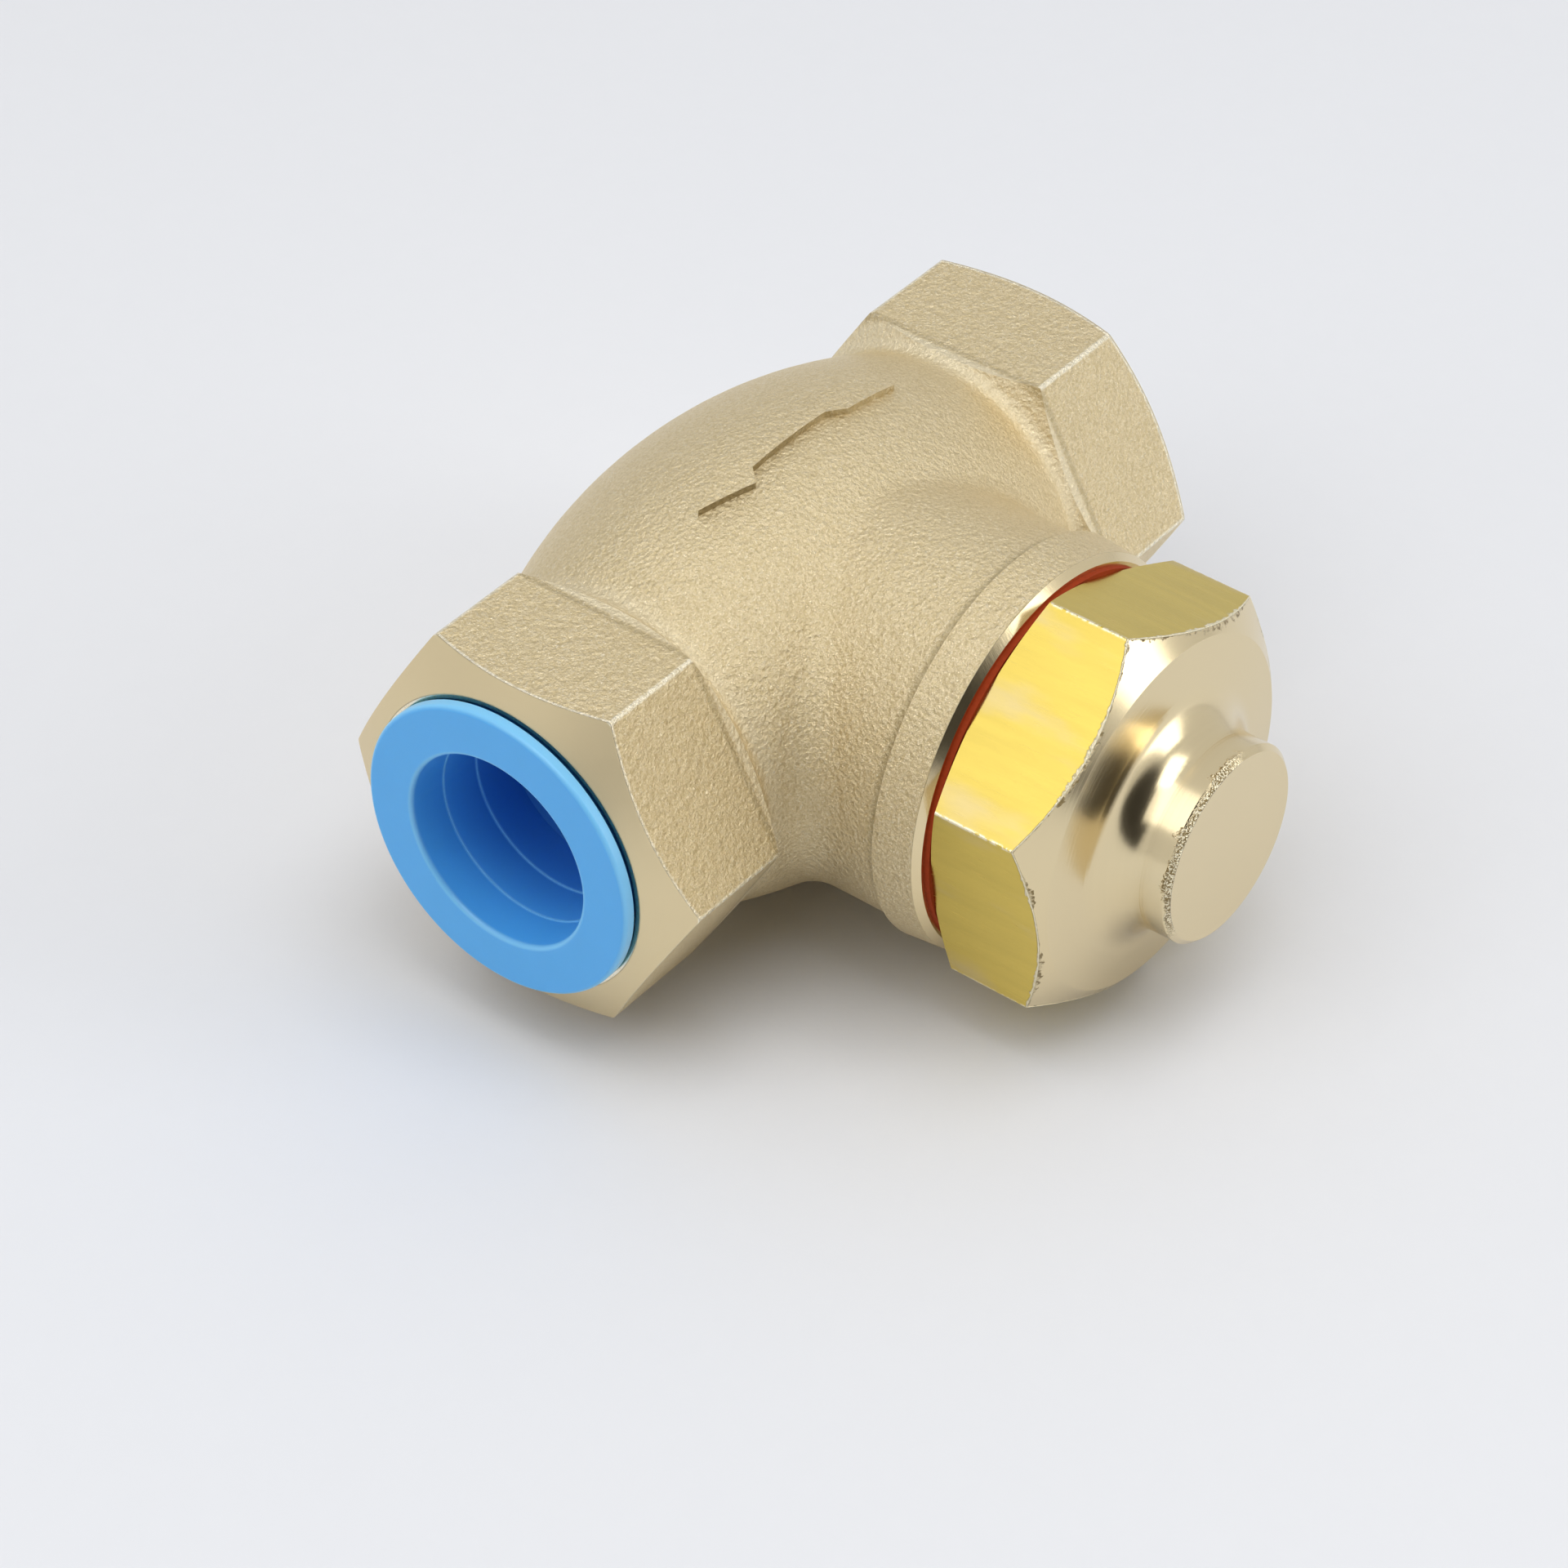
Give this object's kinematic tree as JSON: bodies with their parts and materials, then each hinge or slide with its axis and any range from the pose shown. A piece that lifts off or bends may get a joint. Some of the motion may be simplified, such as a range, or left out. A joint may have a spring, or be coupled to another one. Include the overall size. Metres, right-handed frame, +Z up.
{
  "type": "non-return valve",
  "caption": "Brass spring-loaded lift check valve with female threaded ports, hexagonal screwed bonnet at right angles to the run, cast flow arrow and a push-in transport plug.",
  "frame": {"origin": "centre of the inlet port's end face, on the run axis", "axes": "+X along the run from the outlet to the inlet and out of the inlet port, -Y along the bonnet's axis out of the stub, +Z up through the cast flow arrow"},
  "size_m": [0.0755, 0.067, 0.041],
  "materials": {
    "cast_brass": "blasted casting, matte with a fine sparkling grain",
    "machined_brass": "machined, satin flats with fine lines and a bright turned face",
    "turned_brass": "turned, satin",
    "gasket_fibre": "matte",
    "guide_plastic": "matte",
    "seal_rubber": "matte",
    "spring_steel": "drawn wire, bright",
    "plug_plastic": "satin moulded polyethylene"
  },
  "bodies": {
    "valve_body": {"valve_body": "cast_brass", "seat_partition": "cast_brass", "return_spring": "spring_steel"},
    "disc": {"disc_holder": "turned_brass", "disc_seal": "seal_rubber", "seal_washer": "turned_brass", "seal_nut": "turned_brass"},
    "gasket": {"bonnet_gasket": "gasket_fibre"},
    "bonnet": {"bonnet": "machined_brass", "guide_bush": "guide_plastic"},
    "plug": {"outlet_plug": "plug_plastic"}
  },
  "joints": [
    {"name": "disc_lift", "type": "slide", "parent": "valve_body", "child": "disc", "axis": [0, -1, 0], "range_m": [0, 0.005], "stiffness_N_per_m": 400, "springref_m": -0.00625, "deforming": ["return_spring"]},
    {"name": "bonnet_rise", "type": "slide", "parent": "valve_body", "child": "gasket", "axis": [0, -1, 0], "range_m": [0, 0.011]},
    {"name": "bonnet_turn", "type": "hinge", "parent": "gasket", "child": "bonnet", "pos_m": [-0.037, 0, 0], "axis": [0, -1, 0], "range_deg": [0, 2520]},
    {"name": "plug_pull", "type": "slide", "parent": "valve_body", "child": "plug", "axis": [-1, 0, 0], "range_m": [0, 0.016]}
  ],
  "couplings": [
    {"joint": "bonnet_rise", "follows": "bonnet_turn", "m_per_rad": 0.00023873}
  ]
}
